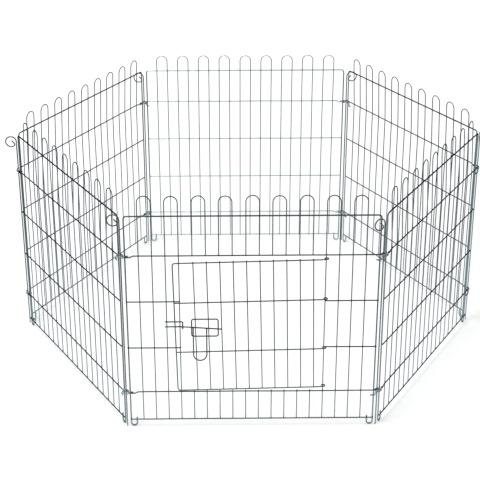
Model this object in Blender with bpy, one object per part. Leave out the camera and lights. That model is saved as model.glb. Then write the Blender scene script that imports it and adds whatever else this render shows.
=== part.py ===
# Six-panel folding wire pen for rabbits and other small animals.
# Six welded wire panels stand in a regular hexagon. Eyes bent from the ends of two rails on every
# panel meet on a loose pin at each corner. The front panel has a doorway with a hinged wire door,
# closed by a slide bolt with a hanging handle.
# Metres, +Z up. The origin is on the floor at the middle of the pen's outline, and the door faces -Y.
# A panel is drawn in its own frame: x runs along it with 0 at its middle, y points into the pen
# with 0 in the plane of its side wires, and z is the height above the floor.
import math

import bmesh
import bpy
from mathutils import Matrix, Vector

# Panel
PANEL_COUNT = 6
PANEL_WIDTH = 0.600        # between the two side wires, centre to centre
UPRIGHT_COUNT = 20         # upright wires in a panel, both side wires included
PITCH = PANEL_WIDTH / (UPRIGHT_COUNT - 1)
PIN_OFFSET = 0.010         # side wire to the axis of the corner pin beside it
HEXAGON_CENTRE = (0.0117, 0.0040)  # puts the middle of the outline, pin curls included, at the origin

# Wire radii
FRAME_RADIUS = 0.00175
RAIL_RADIUS = 0.0015
UPRIGHT_RADIUS = 0.00125
PIN_RADIUS = 0.0016
DOOR_WIRE_RADIUS = 0.0015
BOLT_RADIUS = 0.0016
LATCH_WIRE_RADIUS = 0.0016  # keeper, guide and handle

# Heights above the floor
TOP_HEIGHT = 0.572         # top run of the frame wire
HINGE_RAIL_HEIGHTS = {"upper": 0.472, "lower": 0.1005}
MID_RAIL_HEIGHTS = (0.350, 0.224)
BOTTOM_RAIL_HEIGHT = 0.021
HAIRPIN_RISE = 0.049       # round tops above the top run

# Fits
GAP = 0.0003               # left between separate pieces that are welded or touch
WELD_DEPTH = 0.00035       # how far crossing wires of one piece sink into each other
END_LAP = 0.0015           # how far a wire's end runs past the wire that it is welded to

# Frame wire bends
CORNER_RADIUS = 0.007
FOOT_WIDTH = 0.0145        # side wire to the upturned end, centre to centre
FOOT_END_HEIGHT = 0.025
FOOT_BEND_STEPS = 5        # an odd number, so that a flat run rests on the floor

# Planes of the wires in a panel, by their y
RAIL_Y = -(FRAME_RADIUS + RAIL_RADIUS + GAP)
UPRIGHT_Y = RAIL_Y + RAIL_RADIUS + UPRIGHT_RADIUS - WELD_DEPTH
HINGE_RAIL_Y = UPRIGHT_Y - RAIL_RADIUS - UPRIGHT_RADIUS - GAP
TOP_PASS_Y = FRAME_RADIUS + UPRIGHT_RADIUS + GAP + 0.0001
LEAN_START = 0.006         # above the upper hinge rail, where hairpins lean to pass inside the top run

# Hinge eyes
EYE_RADIUS = 0.0055        # centre line of the eye round a pin
EYE_STEP = math.radians(36)
EYE_LEVEL_DROP = 0.0042    # a left end's eye sits this far under its neighbour's
DIP_START = 0.020          # where a left end starts down, measured from its side wire
DIP_END = 0.0105
SWING_START = 0.0012       # past the side wire, where a rail's end swings to the inside of the pin
TAIL_BOW = (0.0056, -0.0078)   # where the tail turns up or down, before the pin and outside it
TAIL_LENGTH = 0.0084       # tail past the side wire
TAIL_DROP_RIGHT = 0.0140
TAIL_RISE_LEFT = 0.0036

# Pins. A pin's top is curled, and the end of the curl is hooked back inside it.
PIN_CURL_RADIUS = 0.0145
PIN_CURL_TURN = math.radians(300)
PIN_CURL_STEPS = 9
PIN_HOOK_RADIUS = 0.0050
PIN_HOOK_TURN = math.radians(100)
PIN_HOOK_STEPS = 3
PIN_TIP_LENGTH = 0.0100

# Doorway and door, on the front panel
DOORWAY_FIRST_CUT = 5      # uprights from this one to the last are cut between the hinge rails
DOORWAY_LAST_CUT = 14
DOOR_HINGE_UPRIGHT = 15
DOOR_SAG = math.radians(1.2)       # the door hangs low at the latch, in its loose eyes
DOOR_WIDTH = 0.3591                # hinge upright to the door's free side
DOOR_TOP_HEIGHT = 0.4607           # at the hinge
DOOR_BOTTOM_HEIGHT = 0.1133
DOOR_RAIL_HEIGHTS = (0.3546, 0.2202)
DOOR_UPRIGHT_SHIFT = 0.0054        # the door's uprights stand this far towards the hinge
DOOR_CORNER_RADIUS = 0.006
DOOR_PLAY = 0.0010                 # how far the door's eyes hang off centre from the hinge upright
DOOR_EYE_CLEARANCE = 0.00155       # from the hinge upright's surface to an eye's inner side
DOOR_EYE_STEP = math.radians(36)
DOOR_EYE_TURN = math.radians(252)
DOOR_Y = RAIL_Y - RAIL_RADIUS - DOOR_WIRE_RADIUS - GAP - 0.00005
DOOR_UPRIGHT_Y = DOOR_Y + DOOR_WIRE_RADIUS + UPRIGHT_RADIUS + GAP
DOOR_RAIL_Y = DOOR_UPRIGHT_Y - UPRIGHT_RADIUS - RAIL_RADIUS + WELD_DEPTH

# Latch. Distances along the panel are from its left side wire.
KEEPER_LEFT = 0.0897
KEEPER_TURN = 0.1295
KEEPER_RIGHT = 0.1330
KEEPER_HEIGHTS = (0.2925, 0.2790)
KEEPER_Y = UPRIGHT_Y + UPRIGHT_RADIUS + LATCH_WIRE_RADIUS + GAP
KEEPER_NOSE_Y = -0.0115
KEEPER_NOSE_RADIUS = 0.0040
BOLT_LEFT = 0.1223
BOLT_RIGHT = 0.2272
BOLT_LEFT_HEIGHT = 0.2845
BOLT_TILT = math.radians(4.3)      # the bolt hangs low at its right end
BOLT_Y = DOOR_UPRIGHT_Y - UPRIGHT_RADIUS - BOLT_RADIUS - GAP
GUIDE_LEFT = 0.1543
GUIDE_RIGHT = 0.2181
GUIDE_TOP_HEIGHT = 0.3041
GUIDE_BOTTOM_HEIGHT = 0.2577
GUIDE_CORNER_RADIUS = 0.005
GUIDE_Y = DOOR_UPRIGHT_Y - UPRIGHT_RADIUS - LATCH_WIRE_RADIUS - GAP
GUIDE_HUMP_Y = BOLT_Y - BOLT_RADIUS - LATCH_WIRE_RADIUS - GAP - 0.00005
GUIDE_HUMP_HEIGHTS = (0.2865, 0.2730)
HANDLE_LEFT = 0.1580
HANDLE_RIGHT = 0.1902
HANDLE_BOTTOM_HEIGHT = 0.1955
HANDLE_BEND_HEIGHT = 0.2560
HANDLE_LEAN = math.radians(5)      # the lower part stands off the door, for fingers
HANDLE_LAP = 0.0010
HANDLE_Y = BOLT_Y - BOLT_RADIUS - LATCH_WIRE_RADIUS - GAP

SIDES = 6                  # faces round a wire
HAIRPIN_BEND_STEPS = 4

HALF_WIDTH = PANEL_WIDTH / 2
CORNER_DISTANCE = PANEL_WIDTH + 2 * PIN_OFFSET       # also the pins' circle, in a regular hexagon
APOTHEM = CORNER_DISTANCE * math.cos(math.pi / PANEL_COUNT)
PANEL_NAMES = ("front", "front_right", "back_right", "back", "back_left", "front_left")
# Corner pins: the direction that each curl points in, in degrees from +X, the height of the curl's
# middle, and how far along X the pin hangs off centre in its eyes
CORNER_PINS = (("front_left", 180, 0.5625, 0.0), ("front_right", 210, 0.5505, -0.0018),
               ("right", 80, 0.5515, 0.0018), ("back_right", -4, 0.5515, 0.0),
               ("back_left", 182, 0.5505, 0.0), ("left", 180, 0.5515, -0.0018))
# Corner on which each panel hangs when the pen folds; the front panel stays where it is
HINGE_CORNERS = {1: 1, 2: 2, 3: 3, 4: 5, 5: 0}


def upright_x(number):
    """Place of an upright along the panel, counted from the left side wire."""
    return number * PITCH - HALF_WIDTH


def from_left(distance):
    """Place along the panel of a distance from its left side wire."""
    return distance - HALF_WIDTH


def material(name, colour, roughness):
    """Bare zinc-plated steel in one of its shades."""
    made = bpy.data.materials.new(name)
    made.use_nodes = True
    shader = made.node_tree.nodes["Principled BSDF"]
    shader.inputs["Base Color"].default_value = (*colour, 1.0)
    shader.inputs["Metallic"].default_value = 1.0
    shader.inputs["Roughness"].default_value = roughness
    return made


def arc(centre, radius, start, turn, steps, plane="xz"):
    """Points round a centre, from one angle through a turn."""
    points = []
    for step in range(steps + 1):
        angle = start + turn * step / steps
        across = radius * math.cos(angle)
        up = radius * math.sin(angle)
        x, y, z = centre
        points.append((x + across, y + up, z) if plane == "xy" else (x + across, y, z + up))
    return points


def add_wire(mesh, points, radius, closed=False, facing=(0.0, 1.0, 0.0)):
    """Bend one wire along points: a prism with mitred bends, one corner of it turned to facing."""
    path = [Vector(point) for point in points]
    count = len(path)
    runs = [(path[(i + 1) % count] - path[i]).normalized() for i in range(count if closed else count - 1)]
    normal = Vector(facing) - runs[0] * Vector(facing).dot(runs[0])
    normal.normalize()
    rings = []
    for i, point in enumerate(path):
        before = runs[i - 1] if closed or i > 0 else runs[0]
        after = runs[i] if i < len(runs) else runs[-1]
        if i > 0:
            normal = (runs[i - 2].rotation_difference(before) @ normal) if i > 1 else normal
        side = before.cross(normal)
        mitre = (before + after).normalized()
        ring = []
        for k in range(SIDES):
            angle = 2 * math.pi * k / SIDES
            offset = radius * (math.cos(angle) * normal + math.sin(angle) * side)
            offset -= before * (offset.dot(mitre) / before.dot(mitre))
            ring.append(mesh.verts.new(point + offset))
        rings.append(ring)
    pairs = list(zip(rings, rings[1:]))
    if closed:
        pairs.append((rings[-1], rings[0]))
    for low, high in pairs:
        for k in range(SIDES):
            mesh.faces.new((low[k], low[(k + 1) % SIDES], high[(k + 1) % SIDES], high[k]))
    if not closed:
        mesh.faces.new(list(reversed(rings[0])))
        mesh.faces.new(rings[-1])


def wires_mesh(name, wires):
    """A mesh of separate wires, each given as (points, radius) or (points, radius, closed)."""
    built = bmesh.new()
    for wire in wires:
        add_wire(built, *wire)
    mesh = bpy.data.meshes.new(name)
    built.to_mesh(mesh)
    built.free()
    return mesh


def welded_mesh(name, uprights, rails):
    """Uprights and the rails that cross them, fused at every crossing into one closed body."""
    base = bpy.data.objects.new(name + "_uprights", wires_mesh(name, uprights))
    crossing = bpy.data.objects.new(name + "_rails", wires_mesh(name, rails))
    for part in (base, crossing):
        bpy.context.scene.collection.objects.link(part)
    union = base.modifiers.new("weld", "BOOLEAN")
    union.operation = "UNION"
    union.solver = "EXACT"
    union.object = crossing
    bpy.context.view_layer.update()
    evaluated = base.evaluated_get(bpy.context.evaluated_depsgraph_get())
    mesh = bpy.data.meshes.new_from_object(evaluated)
    for part in (base, crossing):
        bpy.data.objects.remove(part)
    mesh.name = name
    return mesh


def frame_points():
    """Frame wire: upturned foot, side wire, top run, side wire, foot, as one bent wire."""
    bend = FOOT_WIDTH / 2
    resting = bend * math.cos(math.pi / 2 / FOOT_BEND_STEPS) + FRAME_RADIUS * math.cos(math.pi / SIDES)
    foot_centre = (-HALF_WIDTH + bend, 0.0, resting)
    corner_centre = (-HALF_WIDTH + CORNER_RADIUS, 0.0, TOP_HEIGHT - CORNER_RADIUS)
    left = [(-HALF_WIDTH + FOOT_WIDTH, 0.0, FOOT_END_HEIGHT)]
    left += arc(foot_centre, bend, 0.0, -math.pi, FOOT_BEND_STEPS)
    left += arc(corner_centre, CORNER_RADIUS, math.pi, -math.pi / 2, 3)
    right = [(-x, y, z) for x, y, z in reversed(left)]
    return left + right


def hairpin_points(number, foot_z, y):
    """Two uprights and the round top that joins them, from upright number to the next one."""
    x = upright_x(number)
    bend = PITCH / 2
    lean_z = max(foot_z, HINGE_RAIL_HEIGHTS["upper"] + LEAN_START)
    slope = (TOP_PASS_Y - y) / (TOP_HEIGHT - lean_z)
    spring_z = TOP_HEIGHT + HAIRPIN_RISE - bend
    outline = arc((x + bend, 0.0, spring_z), bend, math.pi, -math.pi, HAIRPIN_BEND_STEPS)
    leaning = [(px, y + slope * (pz - lean_z), pz) for px, _, pz in outline]
    return [(x, y, foot_z), (x, y, lean_z)] + leaning + [(x + PITCH, y, lean_z), (x + PITCH, y, foot_z)]


def hinge_end(height, is_left):
    """Rail end from its side wire: round the inside of the pin, back outside it, and a short tail."""
    level = height - EYE_LEVEL_DROP if is_left else height
    tail_level = level + TAIL_RISE_LEFT if is_left else level - TAIL_DROP_RIGHT
    pin_x = HALF_WIDTH + PIN_OFFSET
    start = Vector((HALF_WIDTH + SWING_START - pin_x, HINGE_RAIL_Y))
    tangent = math.atan2(start.y, start.x) % (2 * math.pi) - math.acos(EYE_RADIUS / start.length)
    turn = tangent + math.pi / 2
    steps = math.ceil(turn / EYE_STEP)
    points = [(pin_x + start.x, start.y, level)]
    points += arc((pin_x, 0.0, level), EYE_RADIUS, tangent, -turn, steps, "xy")
    bow_x = pin_x - TAIL_BOW[0]
    points.append((bow_x, TAIL_BOW[1], level))
    share = 0.35
    turned_x = bow_x - share * (bow_x - HALF_WIDTH)
    turned_y = TAIL_BOW[1] + share * (HINGE_RAIL_Y - TAIL_BOW[1])
    points.append((turned_x, turned_y, tail_level))
    points.append((HALF_WIDTH - FRAME_RADIUS, HINGE_RAIL_Y, tail_level))
    points.append((HALF_WIDTH - TAIL_LENGTH, HINGE_RAIL_Y, tail_level))
    if is_left:
        dip = [(HALF_WIDTH - DIP_START, HINGE_RAIL_Y, height), (HALF_WIDTH - DIP_END, HINGE_RAIL_Y, level)]
        points = [(-x, y, z) for x, y, z in dip + points]
    return points


def hinge_rail_points(height):
    """A whole rail with a hinge eye at each end; the left one dips under its neighbour's eye."""
    return list(reversed(hinge_end(height, True))) + hinge_end(height, False)


def rail_points(start, end, height):
    return [(start, RAIL_Y, height), (end, RAIL_Y, height)]


def panel_meshes(with_doorway):
    """Meshes of the frame, the grille and the two hinge rails of one panel."""
    kind = "front_panel" if with_doorway else "plain_panel"
    upper = HINGE_RAIL_HEIGHTS["upper"]
    lower = HINGE_RAIL_HEIGHTS["lower"]
    edge = HALF_WIDTH + FRAME_RADIUS
    foot_z = BOTTOM_RAIL_HEIGHT - END_LAP
    uprights = []
    short_hairpins = []
    short_y = HINGE_RAIL_Y + RAIL_RADIUS + UPRIGHT_RADIUS - WELD_DEPTH
    for number in range(1, UPRIGHT_COUNT - 1, 2):
        if with_doorway and DOORWAY_FIRST_CUT <= number <= DOORWAY_LAST_CUT:
            short_hairpins.append((hairpin_points(number, upper - END_LAP, short_y), UPRIGHT_RADIUS))
            for x in (upright_x(number), upright_x(number + 1)):
                stub = [(x, UPRIGHT_Y, foot_z), (x, UPRIGHT_Y, lower + END_LAP)]
                uprights.append((stub, UPRIGHT_RADIUS))
        else:
            uprights.append((hairpin_points(number, foot_z, UPRIGHT_Y), UPRIGHT_RADIUS))
    rails = [(rail_points(-edge, edge, BOTTOM_RAIL_HEIGHT), RAIL_RADIUS)]
    for height in MID_RAIL_HEIGHTS:
        if with_doorway:
            left_end = upright_x(DOORWAY_FIRST_CUT - 1) + END_LAP
            right_end = upright_x(DOOR_HINGE_UPRIGHT) - END_LAP
            rails.append((rail_points(-edge, left_end, height), RAIL_RADIUS))
            rails.append((rail_points(right_end, edge, height), RAIL_RADIUS))
        else:
            rails.append((rail_points(-edge, edge, height), RAIL_RADIUS))
    upper_rail = [(hinge_rail_points(upper), RAIL_RADIUS)]
    lower_rail = [(hinge_rail_points(lower), RAIL_RADIUS)]
    meshes = {
        "frame": wires_mesh(kind + "_frame", [(frame_points(), FRAME_RADIUS)]),
        "grille": welded_mesh(kind + "_grille", uprights, rails),
        "lower_hinge_rail": wires_mesh(kind + "_lower_hinge_rail", lower_rail),
    }
    if with_doorway:
        meshes["upper_hinge_rail"] = welded_mesh(kind + "_upper_hinge_rail", short_hairpins, upper_rail)
    else:
        meshes["upper_hinge_rail"] = wires_mesh(kind + "_upper_hinge_rail", upper_rail)
    return meshes


def pin_mesh(height):
    """Corner pin: a straight rod with a curl at the top, whose end is hooked back inside it."""
    curl = arc((PIN_CURL_RADIUS, 0.0, height), PIN_CURL_RADIUS, math.pi, -PIN_CURL_TURN, PIN_CURL_STEPS)
    turned = math.pi - PIN_CURL_TURN
    inward = PIN_CURL_RADIUS - PIN_HOOK_RADIUS
    hook_centre = (PIN_CURL_RADIUS + inward * math.cos(turned), 0.0, height + inward * math.sin(turned))
    hook = arc(hook_centre, PIN_HOOK_RADIUS, turned, -PIN_HOOK_TURN, PIN_HOOK_STEPS)
    heading = turned - PIN_HOOK_TURN - math.pi / 2
    x, y, z = hook[-1]
    tip = (x + PIN_TIP_LENGTH * math.cos(heading), y, z + PIN_TIP_LENGTH * math.sin(heading))
    return wires_mesh("corner_pin", [([(0.0, 0.0, 0.0)] + curl + hook[1:] + [tip], PIN_RADIUS)])


def sagged(points):
    """Points of the door as it hangs: turned in its own plane about the middle of the hinge."""
    hinge_x = upright_x(DOOR_HINGE_UPRIGHT)
    hinge_z = (DOOR_TOP_HEIGHT + DOOR_BOTTOM_HEIGHT) / 2
    turn = Matrix.Rotation(-DOOR_SAG, 3, "Y")
    pivot = Vector((hinge_x, 0.0, hinge_z))
    return [tuple(turn @ (Vector(point) - pivot) + pivot) for point in points]


def door_eye(height, wire_radius, wire_y):
    """Open eye of a door wire round the hinge upright, drawn from the door's side of it."""
    hinge_x = upright_x(DOOR_HINGE_UPRIGHT)
    radius = UPRIGHT_RADIUS + DOOR_EYE_CLEARANCE + wire_radius
    centre = (hinge_x + DOOR_PLAY, UPRIGHT_Y, height)
    steps = round(DOOR_EYE_TURN / DOOR_EYE_STEP)
    approach = sagged([(hinge_x - 3 * radius, wire_y, height)])
    return approach + arc(centre, radius, -math.pi / 2, DOOR_EYE_TURN, steps, "xy")


def door_frame_mesh():
    """Door frame: one wire from the top eye along the top, down the free side and back to an eye."""
    free_x = upright_x(DOOR_HINGE_UPRIGHT) - DOOR_WIDTH
    bend = DOOR_CORNER_RADIUS
    top = list(reversed(door_eye(DOOR_TOP_HEIGHT, DOOR_WIRE_RADIUS, DOOR_Y)))
    bottom = door_eye(DOOR_BOTTOM_HEIGHT, DOOR_WIRE_RADIUS, DOOR_Y)
    top_corner = arc((free_x + bend, DOOR_Y, DOOR_TOP_HEIGHT - bend), bend, math.pi / 2, math.pi / 2, 3)
    bottom_corner = arc((free_x + bend, DOOR_Y, DOOR_BOTTOM_HEIGHT + bend), bend, math.pi, math.pi / 2, 3)
    points = top + sagged(top_corner + bottom_corner) + bottom
    return wires_mesh("door_frame", [(points, DOOR_WIRE_RADIUS)])


def door_grille_mesh():
    """Door grille: ten uprights with two rails whose ends are eyes on the hinge upright."""
    uprights = []
    for number in range(DOORWAY_FIRST_CUT, DOORWAY_LAST_CUT + 1):
        x = upright_x(number) + DOOR_UPRIGHT_SHIFT
        points = [(x, DOOR_UPRIGHT_Y, DOOR_BOTTOM_HEIGHT - END_LAP),
                  (x, DOOR_UPRIGHT_Y, DOOR_TOP_HEIGHT + END_LAP)]
        uprights.append((sagged(points), UPRIGHT_RADIUS))
    start_x = upright_x(DOOR_HINGE_UPRIGHT) - DOOR_WIDTH + DOOR_WIRE_RADIUS + GAP
    rails = []
    for height in DOOR_RAIL_HEIGHTS:
        points = sagged([(start_x, DOOR_RAIL_Y, height)]) + door_eye(height, RAIL_RADIUS, DOOR_RAIL_Y)
        rails.append((points, RAIL_RADIUS))
    return welded_mesh("door_grille", uprights, rails)


def keeper_mesh():
    """Latch keeper: a hairpin behind two uprights whose nose turns out, and holds the bolt's end."""
    top, bottom = KEEPER_HEIGHTS
    left = from_left(KEEPER_LEFT)
    right = from_left(KEEPER_RIGHT)
    arm = [(left, KEEPER_Y, top), (from_left(KEEPER_TURN), KEEPER_Y, top),
           (right, KEEPER_Y - (KEEPER_RIGHT - KEEPER_TURN), top)]
    nose = [(right, KEEPER_NOSE_Y + KEEPER_NOSE_RADIUS, top),
            (right, KEEPER_NOSE_Y, top - KEEPER_NOSE_RADIUS)]
    upper_half = arm + nose
    lower_half = [(x, y, top + bottom - z) for x, y, z in reversed(upper_half)]
    return wires_mesh("latch_keeper", [(upper_half + lower_half, LATCH_WIRE_RADIUS)])


def guide_mesh():
    """Bolt guide: a rectangular loop on the door's uprights, humped where the bolt runs through."""
    left = from_left(GUIDE_LEFT)
    right = from_left(GUIDE_RIGHT)
    bend = GUIDE_CORNER_RADIUS
    hump_top, hump_bottom = GUIDE_HUMP_HEIGHTS
    rise = GUIDE_Y - GUIDE_HUMP_Y
    down = [(left, GUIDE_Y, hump_top + rise), (left, GUIDE_HUMP_Y, hump_top),
            (left, GUIDE_HUMP_Y, hump_bottom), (left, GUIDE_Y, hump_bottom - rise)]
    corners = []
    for x, z, start in ((left + bend, GUIDE_BOTTOM_HEIGHT + bend, math.pi),
                        (right - bend, GUIDE_BOTTOM_HEIGHT + bend, 1.5 * math.pi),
                        (right - bend, GUIDE_TOP_HEIGHT - bend, 0.0),
                        (left + bend, GUIDE_TOP_HEIGHT - bend, 0.5 * math.pi)):
        corners.append(arc((x, GUIDE_Y, z), bend, start, math.pi / 2, 2))
    up = [(right, y, z) for _, y, z in reversed(down)]
    points = down + corners[0] + corners[1] + up + corners[2] + corners[3]
    return wires_mesh("latch_guide", [(points, LATCH_WIRE_RADIUS, True)])


def bolt_height(distance):
    """Height of the bolt's axis at a distance from the left side wire."""
    return BOLT_LEFT_HEIGHT - (distance - BOLT_LEFT) * math.tan(BOLT_TILT)


def bolt_mesh():
    points = [(from_left(x), BOLT_Y, bolt_height(x)) for x in (BOLT_LEFT, BOLT_RIGHT)]
    return wires_mesh("latch_bolt", [(points, BOLT_RADIUS)])


def handle_mesh():
    """Latch handle: a U of wire welded across the front of the bolt, leaning off the door below."""
    bend = (HANDLE_RIGHT - HANDLE_LEFT) / 2
    centre = (from_left(HANDLE_LEFT) + bend, HANDLE_Y, HANDLE_BOTTOM_HEIGHT + bend)
    outline = [(from_left(HANDLE_LEFT), HANDLE_Y, bolt_height(HANDLE_LEFT) + HANDLE_LAP),
               (from_left(HANDLE_LEFT), HANDLE_Y, HANDLE_BEND_HEIGHT)]
    outline += arc(centre, bend, math.pi, math.pi, 6)
    outline += [(from_left(HANDLE_RIGHT), HANDLE_Y, HANDLE_BEND_HEIGHT),
                (from_left(HANDLE_RIGHT), HANDLE_Y, bolt_height(HANDLE_RIGHT) + HANDLE_LAP)]
    points = []
    for x, y, z in outline:
        below = max(0.0, HANDLE_BEND_HEIGHT - z)
        points.append((x, y - below * math.tan(HANDLE_LEAN), z))
    return wires_mesh("latch_handle", [(points, LATCH_WIRE_RADIUS)])


def empty(name, location, parent=None):
    """A named joint or carrier, at a place in the world."""
    made = bpy.data.objects.new(name, None)
    bpy.context.scene.collection.objects.link(made)
    made.location = location
    if parent:
        bpy.context.view_layer.update()
        made.parent = parent
        made.matrix_parent_inverse = parent.matrix_world.inverted()
    return made


def place(name, mesh, shade, matrix, parent):
    """One named piece, standing at matrix in the world and carried by its parent."""
    piece = bpy.data.objects.new(name, mesh)
    bpy.context.scene.collection.objects.link(piece)
    if not mesh.materials:
        mesh.materials.append(shade)
    bpy.context.view_layer.update()
    piece.parent = parent
    piece.matrix_parent_inverse = parent.matrix_world.inverted()
    piece.matrix_basis = matrix
    return piece


def corner(index):
    """Axis of corner pin number index, on the floor."""
    angle = math.radians(240 + 60 * (index % PANEL_COUNT))
    reach = Vector((CORNER_DISTANCE * math.cos(angle), CORNER_DISTANCE * math.sin(angle), 0.0))
    return reach + Vector((*HEXAGON_CENTRE, 0.0))


def panel_matrix(index):
    """Where a panel's own frame stands in the pen."""
    turn = Matrix.Rotation(math.radians(60 * index), 4, "Z")
    return Matrix.Translation((*HEXAGON_CENTRE, 0.0)) @ turn @ Matrix.Translation((0.0, -APOTHEM, 0.0))


def build_pen():
    for old in list(bpy.data.objects):
        bpy.data.objects.remove(old)

    frame_wire = material("plated_frame_wire", (0.34, 0.37, 0.37), 0.32)
    thin_wire = material("plated_thin_wire", (0.40, 0.42, 0.42), 0.36)
    pin_wire = material("plated_pin_wire", (0.28, 0.31, 0.33), 0.30)
    latch_wire = material("plated_latch_wire", (0.25, 0.27, 0.27), 0.34)

    pen = empty("pen", (0.0, 0.0, 0.0))
    carriers = {0: pen}
    for index in HINGE_CORNERS:
        carriers[index] = empty(PANEL_NAMES[index] + "_panel_hinge", corner(HINGE_CORNERS[index]), pen)

    front = panel_meshes(True)
    plain = panel_meshes(False)
    for index, panel in enumerate(PANEL_NAMES):
        meshes = front if index == 0 else plain
        for piece, mesh in meshes.items():
            shade = frame_wire if piece == "frame" else thin_wire
            place(f"{panel}_{piece}", mesh, shade, panel_matrix(index), carriers[index])

    for index, (name, direction, height, play) in enumerate(CORNER_PINS):
        foot = corner(index) + Vector((play, 0.0, 0.0))
        turn = Matrix.Rotation(math.radians(direction), 4, "Z")
        place(f"corner_pin_{name}", pin_mesh(height), pin_wire, Matrix.Translation(foot) @ turn, pen)

    standing = panel_matrix(0)
    hinge_line = standing @ Vector((upright_x(DOOR_HINGE_UPRIGHT), UPRIGHT_Y, 0.0))
    door = empty("door_hinge", hinge_line, pen)
    bolt_axis = standing @ Vector((from_left(BOLT_LEFT), BOLT_Y, BOLT_LEFT_HEIGHT))
    slide = empty("bolt_slide", bolt_axis, door)
    place("latch_keeper", keeper_mesh(), latch_wire, standing, pen)
    place("door_frame", door_frame_mesh(), thin_wire, standing, door)
    place("door_grille", door_grille_mesh(), thin_wire, standing, door)
    place("latch_guide", guide_mesh(), latch_wire, standing, door)
    place("latch_bolt", bolt_mesh(), latch_wire, standing, slide)
    place("latch_handle", handle_mesh(), latch_wire, standing, slide)


build_pen()
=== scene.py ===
import math

import bmesh
import bpy
from mathutils import Matrix, Vector, noise


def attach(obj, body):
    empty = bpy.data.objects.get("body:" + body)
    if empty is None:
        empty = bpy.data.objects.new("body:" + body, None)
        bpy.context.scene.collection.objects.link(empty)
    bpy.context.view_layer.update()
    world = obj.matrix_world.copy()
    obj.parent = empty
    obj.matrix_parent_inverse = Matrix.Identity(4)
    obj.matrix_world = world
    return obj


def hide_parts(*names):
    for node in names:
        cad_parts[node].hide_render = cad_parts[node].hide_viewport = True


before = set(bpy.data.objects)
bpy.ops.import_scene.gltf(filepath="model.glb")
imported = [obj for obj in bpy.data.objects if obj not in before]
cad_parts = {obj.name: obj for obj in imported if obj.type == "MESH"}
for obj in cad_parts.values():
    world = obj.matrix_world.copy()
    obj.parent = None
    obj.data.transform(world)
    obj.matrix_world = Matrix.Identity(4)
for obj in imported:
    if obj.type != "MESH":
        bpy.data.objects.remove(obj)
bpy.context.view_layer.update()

bl_info = {
    "name": "Folding wire pen",
    "version": (1, 0, 0),
    "blender": (4, 5, 0),
    "location": "3D View > Sidebar > Wire pen",
    "description": "Draws the wires, hinges, door and latch of a six-panel pen, and its studio stage",
    "category": "Object",
}

PANEL_NAMES = ("front", "front_right", "back_right", "back", "back_left", "front_left")
PANEL_COUNT = len(PANEL_NAMES)
# Corner pins in the order of their corners: the direction of the curl in degrees from +X, the height
# of its middle, how far along X the pin hangs off centre in its eyes, and how pale its plating is drawn,
# partly its own tone and partly painted light
CORNER_PINS = (("front_left", 180, 0.5625, 0.0, 0.02), ("front_right", 210, 0.5505, -0.0018, 0.05),
               ("right", 80, 0.5515, 0.0018, 0.50), ("back_right", -4, 0.5515, 0.0, 0.10),
               ("back_left", 182, 0.5505, 0.0, 0.15), ("left", 180, 0.5515, -0.0018, 0.02))
HEXAGON_CENTRE = (0.0117, 0.0040)

# Fits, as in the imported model
CLEARANCE = 0.0003         # between separate wires that are welded or touch
TOP_RUN_PLAY = 0.0001      # more of it where hairpins pass inside the top run
DOOR_PLAY = 0.00005        # more of it in front of the panel's rails and of the bolt
WELD_SINK = 0.00035        # how far the wires of one grille sink into each other at a weld
END_LAP = 0.0015           # how far a wire's end runs past the wire that it is welded to
LEAN_START = 0.006         # above the upper hinge rail, where hairpins lean to pass inside the top run

# Ends of a hinge rail, from its side wire unless it says otherwise
EYE_START = 0.0012                          # where the wire starts to turn into its eye
EYE_BEND = 0.0030                           # radius of the bends from the eye to the tail
BOW_BACK, BOW_OUT = 0.0056, 0.0078          # from the pin's axis to where the wire comes out of the eye
BOW_SHARE = 0.35                            # share of the way back in at which the tail's level is reached
TAIL_RISE_LEFT, TAIL_DROP_RIGHT = 0.0036, 0.0140
DIP_START, DIP_END = 0.020, 0.0105          # where a left end dips to pass under its neighbour's eye
DIP_BEND = 0.006
STRAIGHT_END = 0.035                        # stretch at each end of a hinge rail that doesn't waver

# Corner pins, door and latch. Places along the panel are counted from its left side wire.
CURL_TURN, HOOK_TURN = math.radians(300), math.radians(100)
DOOR_CORNER, WIRE_BEND = 0.006, 0.004       # radius of the door's corners and of its other bends
DOOR_UPRIGHT_SHIFT = 0.0054                 # how far right of the panel's cut uprights the door's stand
DOOR_EYE_PLAY, DOOR_EYE_SHIFT = 0.00155, 0.0010
DOOR_EYE_TURN = math.radians(252)
KEEPER_TOP, KEEPER_BOTTOM, KEEPER_BEND = 0.2925, 0.2790, 0.0046
KEEPER_LEFT, KEEPER_TURN, KEEPER_NOSE = 0.0897, 0.1295, 0.1330
KEEPER_REACH = 0.0115                       # how far its nose stands out in front of the panel
KEEPER_UPRIGHTS = (3, 4)
GUIDE_CORNER, HUMP_BEND = 0.005, 0.0022
HUMP_TOP, HUMP_BOTTOM = 0.2865, 0.2730      # heights between which the guide stands clear of the bolt
HANDLE_END = 0.0010                         # how far the handle's ends rise above the bolt's axis
HANDLE_KNEE = 0.2560                        # height under which the handle leans out
HANDLE_LEAN = math.radians(5)

# Width and thickness of the nugget at a weld, by what is welded
NUGGET_SIZES = {"cross": (0.0032, 0.0013), "edge": (0.0030, 0.0016), "hinge": (0.0032, 0.0014),
                "hinge side": (0.0030, 0.0022), "door side": (0.0028, 0.0026), "latch": (0.0029, 0.0014),
                "handle": (0.0030, 0.0015)}

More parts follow.
